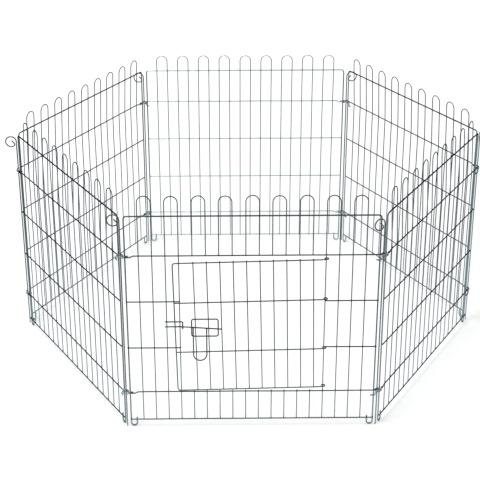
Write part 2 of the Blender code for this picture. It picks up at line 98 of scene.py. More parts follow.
# How finely a wire is drawn
BEND_STEP = math.radians(13)
SHARP_CORNER = math.radians(9)     # a corner under this is left as it is
LONG_RUN = 0.050                   # a straight run gets a point at least this often
SHORT_RUN = 0.004                  # a run under this gets none
WAVER_STEP, WAVER_LENGTH = 0.03, 0.12       # points of a long rail, and how fast its waver changes
WAVER_SEED, WAVER_APART = 3.7, 9.1          # how far apart two rails, and a rail's two wavers, are drawn
RAIL_WAVER, HINGE_RAIL_WAVER = 0.0005, 0.0006
FINE_SIDES, THICK_SIDES, DOOR_SIDES = 12, 16, 14
WELD_STEP = 0.0024                 # a weld gets a point at its middle and this far to each side
WELD_SKIN, WELD_SPREAD = 0.0002, 0.002      # reach of a weld around its wire, for heat and for points
LEAST_STEP = 0.0004                # no point is nearer than this to the end of its run
WELD_REACH = 0.0020                # heat fades by a factor of e in this distance from a weld
# A cut end is broken off square, with its edge turned over by 0.3 mm in the plating barrel: the share
# of the radius at its face and a ring further in, and the depths of its two rings
END_SWELLS, END_DEPTHS = (0.72, 0.92), (0.00012, 0.00035)

# Looks of the plating
ROUGHNESS = {"frame_wire": 0.24, "thin_wire": 0.27, "pin_wire": 0.22, "latch_wire": 0.20}
LINE_SCALE = (2.0, 2.0, 0.03)      # drawing lines to a millimetre across and along; real ones are finer
LINE_TINTS, LINE_ROUGHNESS, LINE_DEPTH = (0.78, 1.22), (-0.05, 0.07), 0.00006
CLOUD_SIZE, CLOUD_BLOOM = 0.012, 0.12       # clouds in zinc plating, and how pale they are
WELD_TINT, WELD_ROUGHNESS = 0.75, 0.16      # how dark and how dull the plating is over a weld
GRAIN_SIZE, GRAIN_RELIEF = 0.0004, 1.6      # pits in it there, and their depth against the lines'
FLOOR_REFLECTION_RISE = 0.16                  # painted reflection of the pale floor, paler wire low down, fades by a factor of e in this height
LEVEL_FLOOR_REFLECTION, UPRIGHT_FLOOR_REFLECTION = 0.30, 0.60     # most painted floor reflection at the ground, on level and on upright wires
EYE_HIGHLIGHT, EYE_FADE = 0.65, 0.006   # how pale a hinge eye is painted, a painted highlight, and over what length
EYE_HIGHLIGHT_START = 0.003             # inside the side wire
# How pale each panel's plating is drawn, on rails, hairpins, the top run and the side wires; below zero
# is darker. Partly each panel's own tone, partly painted light: rails are kept dark and hairpins pale as
# a painted reflection, and the back panel is painted pale for the light on it.
PANEL_TONES_AND_PAINTED_LIGHT = {"front": (-0.15, 0.05, -0.15, 0.05), "front_right": (-0.15, 0.20, -0.15, 0.36),
               "back_right": (0.16, 0.0, 0.0, 0.34), "back": (0.90, 0.26, 1.0, 0.20),
               "back_left": (0.10, 0.07, 0.0, 0.08), "front_left": (-0.15, 0.22, -0.15, 0.10)}

# The studio
FLOOR_REACH = 20
GLOW_REACH = (0.9, 4.0)            # from the middle of the floor, where it starts and ends to get paler
LAMP_PLACE = Vector((-1.2, -1.0, 4.2))
LAMP_SIDE = 1.8
SENSOR_WIDTH = 36.0                # in millimetres


def length(name, description, default):
    """A size in metres that a user may change."""
    return bpy.props.FloatProperty(name=name, description=description, default=default, unit="LENGTH",
                                   subtype="DISTANCE", precision=4)


def height(name, default):
    return length(name, f"Height of the {name.lower()}", default)


def gauge(name, default):
    return length(name, f"Thickness of the {name.lower()}", default)


def place(name, default):
    return length(name, "From the panel's left side wire", default)


def angle(name, description, default):
    """An angle in radians that a user may change."""
    return bpy.props.FloatProperty(name=name, description=description, default=default, unit="ROTATION",
                                   subtype="ANGLE")


def amount(name, description, default):
    return bpy.props.FloatProperty(name=name, description=description, default=default, min=0.0)


def number(name, description, default):
    return bpy.props.IntProperty(name=name, description=description, default=default, min=1)


def shade(name, description, hex_colour):
    """A colour that a user may change, given as an sRGB hex value such as #5f6666."""
    channels = [int(hex_colour[i:i + 2], 16) / 255 for i in (1, 3, 5)]
    linear = [c / 12.92 if c <= 0.04045 else ((c + 0.055) / 1.055) ** 2.4 for c in channels]
    return bpy.props.FloatVectorProperty(name=name, description=description, default=(*linear, 1.0), size=4,
                                         min=0.0, max=1.0, subtype="COLOR")


class PanelSizes(bpy.types.PropertyGroup):
    width: length("Width", "Between the two side wires of a panel, centre to centre", 0.600)
    upright_count: number("Uprights", "Upright wires in a panel, side wires included", 20)
    pin_offset: length("Pin offset", "Side wire to the axis of the corner pin beside it", 0.010)
    top_height: height("Top run", 0.572)
    hairpin_rise: length("Round tops", "How far the round tops stand above the top run", 0.0489)
    upper_hinge_height: height("Upper hinge rail", 0.472)
    upper_mid_height: height("Upper middle rail", 0.350)
    lower_mid_height: height("Lower middle rail", 0.224)
    lower_hinge_height: height("Lower hinge rail", 0.1005)
    bottom_height: height("Bottom rail", 0.021)
    frame_gauge: gauge("Frame wire", 0.0035)
    rail_gauge: gauge("Cross rails", 0.0030)
    upright_gauge: gauge("Hairpins", 0.0025)
    corner_radius: length("Top corners", "Bend of the frame wire at its top corners", 0.007)
    foot_width: length("Foot width", "Side wire to the upturned end of its foot", 0.0145)
    foot_end_height: length("Foot end", "Height of the upturned end of a foot", 0.025)
    play: length("Play", "How far a hairpin may stand from its even place", 0.0004)


class HingeSizes(bpy.types.PropertyGroup):
    eye_radius: length("Eye", "Centre line of a hinge eye round its pin", 0.0055)
    eye_drop: length("Eye drop", "How far a left eye sits under its neighbour's", 0.0042)
    tail_length: length("Tail", "Length of an eye's tail past the side wire", 0.0084)
    pin_gauge: gauge("Corner pins", 0.0032)
    curl_radius: length("Curl", "Radius of a pin's curl", 0.0142)
    hook_radius: length("Hook", "Radius of the bend that turns the curl's end back inside it", 0.0050)
    tip_length: length("Tip", "Straight end after the hook", 0.0100)


class DoorSizes(bpy.types.PropertyGroup):
    width: length("Width", "Hinge upright to the door's free side", 0.3591)
    top_height: length("Top", "Height of the door's top wire at the hinge", 0.4607)
    bottom_height: length("Bottom", "Height of the door's bottom wire at the hinge", 0.1133)
    upper_rail_height: length("Upper rail", "Height of the door's upper rail at the hinge", 0.3546)
    lower_rail_height: length("Lower rail", "Height of the door's lower rail at the hinge", 0.2202)
    frame_gauge: gauge("Door's frame wire", 0.0030)
    sag: angle("Sag", "How far the door hangs low at its latch side", math.radians(1.2))
    first_upright: number("First cut upright", "First upright cut for the doorway", 5)
    last_upright: number("Last cut upright", "Last upright cut for the doorway", 14)


class LatchSizes(bpy.types.PropertyGroup):
    bolt_gauge: gauge("Slide bolt", 0.0032)
    wire_gauge: gauge("Keeper, guide and handle", 0.0032)
    bolt_left: place("Bolt's left end", 0.1223)
    bolt_right: place("Bolt's right end", 0.2272)
    bolt_height: length("Bolt height", "Height of the bolt at its left end", 0.2845)
    bolt_tilt: angle("Bolt tilt", "How far the bolt hangs low at its right end", math.radians(4.3))
    handle_left: place("Handle's left leg", 0.1580)
    handle_right: place("Handle's right leg", 0.1902)
    handle_bottom: length("Handle bottom", "Height of the handle's lowest point", 0.1955)
    guide_left: place("Guide's left side", 0.1543)
    guide_right: place("Guide's right side", 0.2181)
    guide_top: height("Guide's top wire", 0.3041)
    guide_bottom: height("Guide's bottom wire", 0.2577)


class WireColours(bpy.types.PropertyGroup):
    # These plating colours are much darker than bright zinc: partly the plating's blue-grey, partly a painted
    # reflection of dark surroundings
    frame_wire: shade("Frame wire", "Plating on the frame wires", "#3c4547")
    thin_wire: shade("Thin wire", "Plating on the uprights and rails", "#2b3234")
    pin_wire: shade("Pin wire", "Plating on the corner pins", "#3f494c")
    latch_wire: shade("Latch wire", "Plating on the bolt, guide, handle and keeper", "#1c2123")
    weld: shade("Weld", "Plating over a weld", "#2a2e2e")
    # Pale colour for the zinc's clouds, and for painted reflection and painted highlight
    bloom_and_painted_light: shade("Bloom", "Pale bloom on the plating", "#9aabb0")


class StageLooks(bpy.types.PropertyGroup):
    floor: shade("Floor", "Colour of the studio floor", "#e4e5e5")
    background: shade("Background", "Colour behind the floor", "#ffffff")
    floor_glow: amount("Floor glow", "Paleness that the floor shows under the pen", 0.31)
    far_glow: amount("Far glow", "Paleness that the floor shows far away", 0.60)
    sky: amount("Sky", "Strength of the light from all round", 0.60)
    lamp: amount("Lamp", "Power of the soft overhead lamp in watts", 110.0)
    camera_place: bpy.props.FloatVectorProperty(name="Camera", description="Where the camera stands",
                                                default=(-0.0515, -3.3612, 1.8494), subtype="XYZ",
                                                unit="LENGTH")
    camera_yaw: angle("Yaw", "Camera turned to the right", 0.01201)
    camera_pitch: angle("Pitch", "Camera turned down", 0.44223)
    camera_roll: angle("Roll", "Camera turned about its own axis", -0.00117)
    camera_lens: amount("Lens", "Focal length in millimetres on a 36 mm sensor", 100.54)


def feed(tree, node, given):
    """Set a node's properties and inputs.

    What is given for an input may be a socket that feeds it, or a node, which stands for its first output.
    """
    for key, value in given.items():
        source = value.outputs[0] if isinstance(value, bpy.types.Node) else value
        if isinstance(source, bpy.types.NodeSocket):
            tree.links.new(source, node.inputs[key])
        elif isinstance(key, str) and hasattr(node, key):
            setattr(node, key, source)
        else:
            node.inputs[key].default_value = source
    return node


def add_node(tree, kind, given=None):
    """Add one node with its properties and inputs."""
    return feed(tree, tree.nodes.new(kind), given or {})


def add_math(tree, operation, *terms):
    """Add a math node. Each term is a number, a socket or a node."""
    return add_node(tree, "ShaderNodeMath", {"operation": operation, **dict(enumerate(terms))})


def add_range(tree, source, given, wanted):
    """Add a node that carries one range of values over to another."""
    ends = zip(("From Min", "From Max", "To Min", "To Max"), (*given, *wanted))
    return add_node(tree, "ShaderNodeMapRange", {"Value": source, **dict(ends)})


def add_noise(tree, source, scale, detail, roughness=0.5):
    return add_node(tree, "ShaderNodeTexNoise",
                    {"Vector": source, "Scale": scale, "Detail": detail, "Roughness": roughness})


def new_material(name):
    """A material with nodes, its tree and its shader."""
    made = bpy.data.materials.new(name)
    made.use_nodes = True
    return made, made.node_tree, made.node_tree.nodes["Principled BSDF"]


def zinc_plated(name, colour, looks, roughness):
    """Cold-drawn low-carbon steel wire, electroplated with bright zinc after welding.

    Drawing leaves fine lines along the wire, which spread a highlight across it. The plating is a
    satin, blue-grey metal, drawn dark as a painted reflection of dark surroundings. It is painted pale
    low down and on upright wires, a painted reflection of the pale floor, with a painted highlight on
    the hinge eyes; it has bloomed pale in faint clouds, and it is dull and dark over a weld.
    """
    made, tree, shader = new_material(name)
    lay = add_node(tree, "ShaderNodeAttribute", {"attribute_name": "lay"}).outputs["Vector"]
    heat, bloom_and_painted_light = (add_node(tree, "ShaderNodeAttribute", {"attribute_name": attribute}).outputs["Fac"]
                   for attribute in ("heat", "bloom_and_painted_light"))
    spot = add_node(tree, "ShaderNodeTexCoord").outputs["Object"]
    stretched = add_node(tree, "ShaderNodeVectorMath", {"operation": "MULTIPLY", 0: lay, 1: LINE_SCALE})
    lines = add_noise(tree, stretched, 1.0, 3.0, 0.6)
    clouds = add_noise(tree, spot, 1 / CLOUD_SIZE, 4.0, 0.55)
    # Paler towards the pale colour by the point's painted reflection and highlight, its tone, and random
    # clouds
    pale_share = add_math(tree, "ADD", bloom_and_painted_light, add_range(tree, clouds, (0.42, 0.75), (0.0, CLOUD_BLOOM)))
    pale_share.use_clamp = True
    clouded_and_painted_pale = add_node(tree, "ShaderNodeMix",
                       {"data_type": "RGBA", 0: pale_share, 6: colour, 7: looks.bloom_and_painted_light}).outputs[2]
    line_share = add_range(tree, lines, (0.35, 0.65), LINE_TINTS)
    lined = add_node(tree, "ShaderNodeVectorMath", {"operation": "SCALE", 0: clouded_and_painted_pale, "Scale": line_share})
    weld_share = add_math(tree, "MULTIPLY", heat, WELD_TINT)
    tinted = add_node(tree, "ShaderNodeMix", {"data_type": "RGBA", 0: weld_share, 6: lined, 7: looks.weld})
    rough_lines = add_range(tree, lines, (0.3, 0.7), [roughness + more for more in LINE_ROUGHNESS])
    grains = add_noise(tree, spot, 1 / GRAIN_SIZE, 2.0)
    relief = add_math(tree, "MULTIPLY_ADD", add_math(tree, "MULTIPLY", heat, grains), GRAIN_RELIEF, lines)
    # Specular Tint black lets the wire mirror nothing at a glancing angle, so it has dark edges: painted
    # shade that stands in for dark surroundings mirrored there.
    bump = add_node(tree, "ShaderNodeBump", {"Strength": 0.35, "Distance": LINE_DEPTH, "Height": relief})
    feed(tree, shader, {"Metallic": 1.0, "Specular Tint": (0.0, 0.0, 0.0, 1.0), "Normal": bump,
                        "Base Color": tinted.outputs[2],
                        "Roughness": add_math(tree, "MULTIPLY_ADD", heat, WELD_ROUGHNESS, rough_lines)})
    return made


def new_tree(name, made, **inputs):
    """A geometry tree with inputs of the given names and kinds, and the sockets that hand them on."""
    tree = bpy.data.node_groups.new(name, "GeometryNodeTree")
    for socket, kind in inputs.items():
        tree.interface.new_socket(socket, in_out="INPUT", socket_type="NodeSocket" + kind)
    tree.interface.new_socket(made, in_out="OUTPUT", socket_type="NodeSocketGeometry")
    return tree, add_node(tree, "NodeGroupInput").outputs


def end_tree(tree, given, geometry):
    """Finish a geometry tree: what it made becomes real and gets its material."""
    real = add_node(tree, "GeometryNodeRealizeInstances", {"Geometry": geometry})
    plated = add_node(tree, "GeometryNodeSetMaterial", {"Geometry": real, "Material": given["Material"]})
    add_node(tree, "NodeGroupOutput", {0: plated})
    return tree


def captured(tree, geometry, name, value):
    """Outputs of a node that notes a number at each point: the geometry and the number."""
    made = add_node(tree, "GeometryNodeCaptureAttribute", {"Geometry": geometry})
    made.capture_items.new("FLOAT", name)
    return feed(tree, made, {name: value}).outputs


def wire_tree():
    """Gives paths their thickness as round wire, and marks how the drawing lines lie on it."""
    tree, given = new_tree("Drawn wire", "Wire", Paths="Geometry", Gauge="Float", Sides="Int",
                           Material="Material")
    radius = add_math(tree, "MULTIPLY", given["Gauge"], 0.5)
    curve = add_node(tree, "GeometryNodeMeshToCurve", {"Mesh": given["Paths"]})
    swell = add_node(tree, "GeometryNodeInputNamedAttribute", {"data_type": "FLOAT", "Name": "swell"})
    shaped = add_node(tree, "GeometryNodeSetCurveRadius", {"Curve": curve, "Radius": swell})
    along = add_node(tree, "GeometryNodeSplineParameter").outputs
    path = captured(tree, shaped, "Length", along["Length"])
    ring = add_node(tree, "GeometryNodeCurvePrimitiveCircle",
                    {"mode": "RADIUS", "Resolution": given["Sides"], "Radius": radius})
    profile = captured(tree, ring, "Turn", along["Factor"])
    tube = add_node(tree, "GeometryNodeCurveToMesh",
                    {"Curve": path["Geometry"], "Profile Curve": profile["Geometry"], "Fill Caps": True})
    smooth = add_node(tree, "GeometryNodeSetShadeSmooth", {"Geometry": tube})
    # The lay is in millimetres: across the wire in X and Y, and along it in Z.
    turned = add_math(tree, "MULTIPLY", profile["Turn"], 2 * math.pi)
    reach, run = (add_math(tree, "MULTIPLY", metres, 1000.0) for metres in (radius, path["Length"]))
    across, up = (add_math(tree, "MULTIPLY", add_math(tree, operation, turned), reach)
                  for operation in ("COSINE", "SINE"))
    lay = add_node(tree, "ShaderNodeCombineXYZ", {"X": across, "Y": up, "Z": run})
    stored = add_node(tree, "GeometryNodeStoreNamedAttribute",
                      {"data_type": "FLOAT_VECTOR", "Geometry": smooth, "Name": "lay", "Value": lay})
    return end_tree(tree, given, stored)


def row_tree():
    """Sets copies of one bent wire in a row, each a little off its even place."""
    tree, given = new_tree("Row of hairpins", "Row", Hairpin="Geometry", Count="Int", Start="Float",
                           Spacing="Float", Play="Float", Shortest="Float", Seed="Int", Gauge="Float",
                           Sides="Int", Material="Material")
    handed_on = {name: given[name] for name in ("Gauge", "Sides", "Material")}
    bent = add_node(tree, "GeometryNodeGroup",
                    {"node_tree": tree_named("Drawn wire"), "Paths": given["Hairpin"], **handed_on})
    start, spacing = (add_node(tree, "ShaderNodeCombineXYZ", {"X": given[name]})
                      for name in ("Start", "Spacing"))
    line = add_node(tree, "GeometryNodeMeshLine",
                    {"mode": "OFFSET", "Count": given["Count"], "Start Location": start, "Offset": spacing})
    least, most = (add_math(tree, "MULTIPLY", given["Play"], share) for share in (-2.0, 2.0))
    lean, stretch = (add_node(tree, "FunctionNodeRandomValue",
                              {"data_type": "FLOAT", 2: low, 3: high, "Seed": given["Seed"]}).outputs[1]
                     for low, high in ((least, most), (given["Shortest"], 1.0)))
    turn = add_node(tree, "ShaderNodeCombineXYZ", {"Y": lean})
    size = add_node(tree, "ShaderNodeCombineXYZ", {"X": 1.0, "Y": 1.0, "Z": stretch})
    copies = add_node(tree, "GeometryNodeInstanceOnPoints",
                      {"Points": line, "Instance": bent, "Rotation": turn, "Scale": size})
    return end_tree(tree, given, copies)


def nugget_tree():
    """Puts a small squeezed-out nugget of metal on every weld."""
    tree, given = new_tree("Weld nuggets", "Nuggets", Welds="Geometry", Width="Float", Thickness="Float",
                           Seed="Int", Material="Material")
    ball = add_node(tree, "GeometryNodeMeshIcoSphere", {"Radius": 0.5, "Subdivisions": 2})
    smooth = add_node(tree, "GeometryNodeSetShadeSmooth", {"Geometry": ball})
    hot = add_node(tree, "GeometryNodeStoreNamedAttribute",
                   {"data_type": "FLOAT", "Geometry": smooth, "Name": "heat", "Value": 1.0})
    uneven, turned = (add_node(tree, "FunctionNodeRandomValue",
                               {"data_type": "FLOAT_VECTOR", 0: low, 1: high, "Seed": given["Seed"]})
                      for low, high in (((0.85, 0.9, 0.85), (1.15, 1.1, 1.15)),
                                        ((0.0, 0.0, 0.0), (0.0, 6.28, 0.0))))
    even = add_node(tree, "ShaderNodeCombineXYZ",
                    {"X": given["Width"], "Y": given["Thickness"], "Z": given["Width"]})
    size = add_node(tree, "ShaderNodeVectorMath", {"operation": "MULTIPLY", 0: uneven, 1: even})
    copies = add_node(tree, "GeometryNodeInstanceOnPoints",
                      {"Points": given["Welds"], "Instance": hot, "Rotation": turned, "Scale": size})
    return end_tree(tree, given, copies)


TREES = {"Drawn wire": wire_tree, "Row of hairpins": row_tree, "Weld nuggets": nugget_tree}


def tree_named(name):
    """The geometry tree of that name, made when it is first asked for."""
    return bpy.data.node_groups.get(name) or TREES[name]()


def plating(finish):
    """The plated material of a finish, made when it is first asked for."""
    name = "zinc_plated_" + finish
    looks = bpy.context.scene.pen_colours
    return bpy.data.materials.get(name) or zinc_plated(name, getattr(looks, finish), looks, ROUGHNESS[finish])


def stand(name, data):
    """A new object in the scene."""
    made = bpy.data.objects.new(name, data)
    bpy.context.scene.collection.objects.link(made)
    return made


def grown(tree_name, source, finish, inputs):
    """What a geometry tree makes of bare points and edges, as a plain mesh."""
    tree = tree_named(tree_name)
    carrier = stand(tree_name, source)
    modifier = carrier.modifiers.new(tree_name, "NODES")
    modifier.node_group = tree
    values = {"Material": plating(finish), **inputs}
    for socket in tree.interface.items_tree:
        if socket.in_out == "INPUT" and socket.name in values:
            modifier[socket.identifier] = values[socket.name]
    bpy.context.view_layer.update()
    mesh = bpy.data.meshes.new_from_object(carrier.evaluated_get(bpy.context.evaluated_depsgraph_get()))
    bpy.data.objects.remove(carrier)
    bpy.data.meshes.remove(source)
    if not mesh.polygons:
        raise RuntimeError(tree_name + " made nothing")
    return mesh


def show(name, meshes, matrix, finish, body, node):
    """Join a piece's meshes, stand it in the pen, and let it ride on its body in place of its node."""
    joined = bmesh.new()
    for mesh in meshes:
        joined.from_mesh(mesh)
        bpy.data.meshes.remove(mesh)
    if joined.calc_volume(signed=True) < 0:
        bmesh.ops.reverse_faces(joined, faces=joined.faces)
    mesh = bpy.data.meshes.new(name)
    joined.to_mesh(mesh)
    joined.free()
    mesh.transform(matrix)
    mesh.materials.append(plating(finish))
    piece = stand(name, mesh)
    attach(piece, body)
    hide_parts(node)


def arc(centre, radius, start, turn, plane="xz"):
    """Points of a bend round a centre."""
    steps = max(2, math.ceil(abs(turn) / BEND_STEP))
    points = []
    for step in range(steps + 1):
        across = radius * math.cos(start + turn * step / steps)
        up = radius * math.sin(start + turn * step / steps)
        x, y, z = centre
        points.append((x + across, y + up, z) if plane == "xy" else (x + across, y, z + up))
    return points


def rounded(points, radius, closed=False):
    """Round the sharp corners of a path, as bending a wire over a former does."""
    path = [Vector(point) for point in points]
    count = len(path)
    result = []
    for i, point in enumerate(path):
        if not closed and i in (0, count - 1):
            result.append(point)
            continue
        before = point - path[i - 1]
        after = path[(i + 1) % count] - point
        turn = before.angle(after)
        if turn < SHARP_CORNER:
            result.append(point)
            continue
        # Two bends on one short run share it, and a little of it stays straight between them.
        cut = min(radius * math.tan(turn / 2), 0.48 * before.length, 0.48 * after.length)
        bend = cut / math.tan(turn / 2)
        before.normalize()
        after.normalize()
        centre = point + (after - before).normalized() * (bend / math.cos(turn / 2))
        axis = before.cross(after).normalized()
        spoke = point - before * cut - centre
        steps = max(2, math.ceil(turn / BEND_STEP))
        for step in range(steps + 1):
            result.append(centre + Matrix.Rotation(turn * step / steps, 3, axis) @ spoke)
    return result


def heat_at(point, welds, reach):
    """How much a point on a wire's centre line was heated by the welds near it, 0 to 1."""
    nearest = min(((Vector(weld) - point).length for weld in welds), default=1.0)
    return math.exp(-(max(0.0, nearest - reach) / WELD_REACH) ** 2)


def bloom_and_painted_light_at(point, run, tones, eyes_from):
    """How pale the plating is drawn at a point of a wire that runs along run there: its tone, painted
    reflection and painted highlight.
    """
    # Upright wires and wire near the ground are painted paler: a painted reflection of the pale floor
    rise = (run.z / run.length) ** 2
    level, upright = (tone + most * math.exp(-max(0.0, point.z) / FLOOR_REFLECTION_RISE)
                      for tone, most in zip(tones, (LEVEL_FLOOR_REFLECTION, UPRIGHT_FLOOR_REFLECTION)))
    # Hinge eyes are painted paler: a painted highlight
    eye_highlight = EYE_HIGHLIGHT * min(1.0, max(0.0, (abs(point.x) - eyes_from) / EYE_FADE))
    return level + (upright - level) * rise + eye_highlight


def stations_along(points, welds, reach, closed):
    """Where a wire's path gets its rings: at corners, near welds, and now and then between them."""
    stations = []
    for a, b in zip(points, points[1:] + points[:1] if closed else points[1:]):
        size = (b - a).length
        if size <= SHORT_RUN:
            stations.append(a)
            continue
        direction = (b - a) / size
        places = {0.0}
        for weld in welds:
            along = (Vector(weld) - a).dot(direction)
            beside = (Vector(weld) - a - direction * along).length
            if -SHORT_RUN < along < size + SHORT_RUN and beside < reach + WELD_SPREAD:
                places.update(t for t in (along - WELD_STEP, along, along + WELD_STEP)
                              if LEAST_STEP < t < size - LEAST_STEP)
        marks = sorted(places) + [size]
        for low, high in zip(marks, marks[1:]):
            extra = int((high - low) / LONG_RUN)
            places.update(low + (high - low) * k / (extra + 1) for k in range(1, extra + 1))
        stations += [a + direction * t for t in sorted(places)]
    return stations if closed else stations + [points[-1]]


def cut_off(stations):
    """Give an open wire its two cut ends: its stations with their rings, and its swell at each."""
    rings = []
    for end, inner in ((0, 1), (-1, -2)):
        inward = (stations[inner] - stations[end]).normalized()
        rings.append([stations[end] + inward * depth for depth in END_DEPTHS])
    stations = [stations[0], *rings[0], *stations[1:-1], *reversed(rings[1]), stations[-1]]
    full = [1.0] * (len(stations) - 2 * len(END_SWELLS))
    return stations, [*END_SWELLS, *full, *reversed(END_SWELLS)]


def path_mesh(paths, thickness, welds=(), closed=False, tones=(0.0, 0.0), eyes_from=1.0):
    """Bare points and edges of wires. Each point holds its swell, how hot it got and how pale it is drawn.

    The paleness goes by the tones of level and of upright wire, with a painted reflection of the pale
    floor. Beyond eyes_from from the panel's middle the plating is painted pale, a painted highlight on the
    hinge eyes.
    """
    reach = thickness / 2 + WELD_SKIN
    vertices, edges, swell, heat, bloom_and_painted_light = [], [], [], [], []
    for path in paths:
        stations = stations_along([Vector(point) for point in path], welds, reach, closed)
        swells = [1.0] * len(stations)
        if not closed:
            stations, swells = cut_off(stations)
        first, last = len(vertices), len(stations) - 1
        vertices += stations
        swell += swells
        heat += [heat_at(point, welds, reach) for point in stations]
        bloom_and_painted_light += [bloom_and_painted_light_at(point, stations[min(i + 1, last)] - stations[max(i - 1, 0)], tones, eyes_from)
                  for i, point in enumerate(stations)]
        edges += [(first + i, first + i + 1) for i in range(last)]
        if closed:
            edges.append((first + last, first))
    mesh = bpy.data.meshes.new("paths")
    mesh.from_pydata(vertices, edges, [])
    for name, values in (("swell", swell), ("heat", heat), ("bloom_and_painted_light", bloom_and_painted_light)):
        mesh.attributes.new(name, "FLOAT", "POINT").data.foreach_set("value", values)
    return mesh


def wires(paths, thickness, finish, welds=(), sides=FINE_SIDES, **drawn):
    """Round wires along paths, as a plain mesh. What else is given goes to path_mesh."""
    return grown("Drawn wire", path_mesh(paths, thickness, welds, **drawn), finish,
                 {"Gauge": thickness, "Sides": sides})


def nuggets(welds, kind, seed, finish="thin_wire"):
    """Nuggets on welds, as a plain mesh."""
    points = bpy.data.meshes.new("welds")
    points.from_pydata(welds, [], [])
    width, thickness = NUGGET_SIZES[kind]
    return grown("Weld nuggets", points, finish, {"Width": width, "Thickness": thickness, "Seed": seed})


def wavering_rail(start, end, z, y, waver, seed):
    """A long rail with its slight waver up and down and to and fro, from the straightening rolls."""
    steps = max(1, round((end - start) / WAVER_STEP))
    result = []
    for i in range(steps + 1):
        x = start + (end - start) * i / steps
        spot = Vector((x / WAVER_LENGTH, seed * WAVER_SEED, 0.0))
        aside = 0.5 * waver * noise.noise(spot)
        up = waver * noise.noise(spot + Vector((0.0, 0.0, WAVER_APART)))
        result.append(Vector((x, y + aside, z + up)))
    return result


def pitch(panel):
    return panel.width / (panel.upright_count - 1)


def upright_x(panel, upright):
    """Place of an upright along its panel, counted from the left side wire."""
    return upright * pitch(panel) - panel.width / 2


def all_uprights(panel):
    """Numbers of a panel's uprights between its side wires."""
    return range(1, panel.upright_count - 1)


def cut_uprights(door):
    """Numbers of the front panel's uprights that are cut for the doorway."""
    return range(door.first_upright, door.last_upright + 1)


def door_upright_places(panel, door):
    return [upright_x(panel, n) + DOOR_UPRIGHT_SHIFT for n in cut_uprights(door)]


def planes(panel):
    """Distances of the panel's layers of wire from the plane of its side wires, by name."""
    frame_r, rail_r, upright_r = panel.frame_gauge / 2, panel.rail_gauge / 2, panel.upright_gauge / 2
    rail = -(frame_r + rail_r + CLEARANCE)
    upright = rail + rail_r + upright_r - WELD_SINK
    return {"rail": rail, "upright": upright, "hinge_rail": upright - rail_r - upright_r - CLEARANCE,
            "top_pass": frame_r + upright_r + CLEARANCE + TOP_RUN_PLAY}


def corner(panel, index):
    """Axis of a corner pin, on the floor."""
    direction = math.radians(240 + 60 * (index % PANEL_COUNT))
    reach = panel.width + 2 * panel.pin_offset
    return Vector((HEXAGON_CENTRE[0] + reach * math.cos(direction),
                   HEXAGON_CENTRE[1] + reach * math.sin(direction), 0.0))


def panel_matrix(panel, index):
    """Where a panel's own frame stands in the pen."""
    apothem = (panel.width + 2 * panel.pin_offset) * math.cos(math.pi / PANEL_COUNT)
    turn = Matrix.Rotation(math.radians(60 * index), 4, "Z")
    return Matrix.Translation((*HEXAGON_CENTRE, 0.0)) @ turn @ Matrix.Translation((0.0, -apothem, 0.0))


def frame_path(panel):
    """Frame wire: upturned foot, side wire, top run, side wire, foot."""
    half = panel.width / 2
    bend = panel.foot_width / 2
    resting = bend + panel.frame_gauge / 2
    radius = panel.corner_radius
    left = [(-half + panel.foot_width, 0.0, panel.foot_end_height)]
    left += arc((-half + bend, 0.0, resting), bend, 0.0, -math.pi)
    left += arc((-half + radius, 0.0, panel.top_height - radius), radius, math.pi, -math.pi / 2)
    return left + [(-x, y, z) for x, y, z in reversed(left)]


def hairpin_path(panel, foot, y):
    """Two uprights and their round top, with the left one at x = 0."""
    spacing = pitch(panel)
    bend = spacing / 2
    lean_z = max(foot, panel.upper_hinge_height + LEAN_START)
    slope = (planes(panel)["top_pass"] - y) / (panel.top_height - lean_z)
    top = arc((bend, 0.0, panel.top_height + panel.hairpin_rise - bend), bend, math.pi, -math.pi)
    leaning = [(x, y + slope * (z - lean_z), z) for x, _, z in top]
    return [(0.0, y, foot), (0.0, y, lean_z)] + leaning + [(spacing, y, lean_z), (spacing, y, foot)]


def hinge_end(panel, hinge, rail_z, is_left):
    """Rail end from its side wire: round the inside of the pin, back outside it, and a short tail."""
    half = panel.width / 2
    y = planes(panel)["hinge_rail"]
    level = rail_z - hinge.eye_drop if is_left else rail_z
    tail_level = level + TAIL_RISE_LEFT if is_left else level - TAIL_DROP_RIGHT
    pin_x = half + panel.pin_offset
    start = Vector((half + EYE_START - pin_x, y))
    tangent = math.atan2(start.y, start.x) % (2 * math.pi) - math.acos(hinge.eye_radius / start.length)
    points = [(pin_x + start.x, start.y, level)]
    points += arc((pin_x, 0.0, level), hinge.eye_radius, tangent, -(tangent + math.pi / 2), "xy")
    bow_x = pin_x - BOW_BACK
    points += [(bow_x, -BOW_OUT, level),
               (bow_x - BOW_SHARE * (bow_x - half), -BOW_OUT + BOW_SHARE * (y + BOW_OUT), tail_level),
               (half - panel.frame_gauge / 2, y, tail_level), (half - hinge.tail_length, y, tail_level)]
    points = [tuple(point) for point in rounded(points, EYE_BEND)]
    if is_left:
        dip = [(half - DIP_START, y, rail_z), (half - DIP_END, y, level)]
        points = [(-x, y, z) for x, y, z in rounded(dip + points, DIP_BEND)]
    return points


def hinge_rail_path(panel, hinge, rail_z, seed):
    """A whole rail with a hinge eye at each end; the left one dips under its neighbour's eye."""
    reach = panel.width / 2 - STRAIGHT_END
    middle = wavering_rail(-reach, reach, rail_z, planes(panel)["hinge_rail"], HINGE_RAIL_WAVER, seed)
    return hinge_end(panel, hinge, rail_z, True)[::-1] + middle + hinge_end(panel, hinge, rail_z, False)


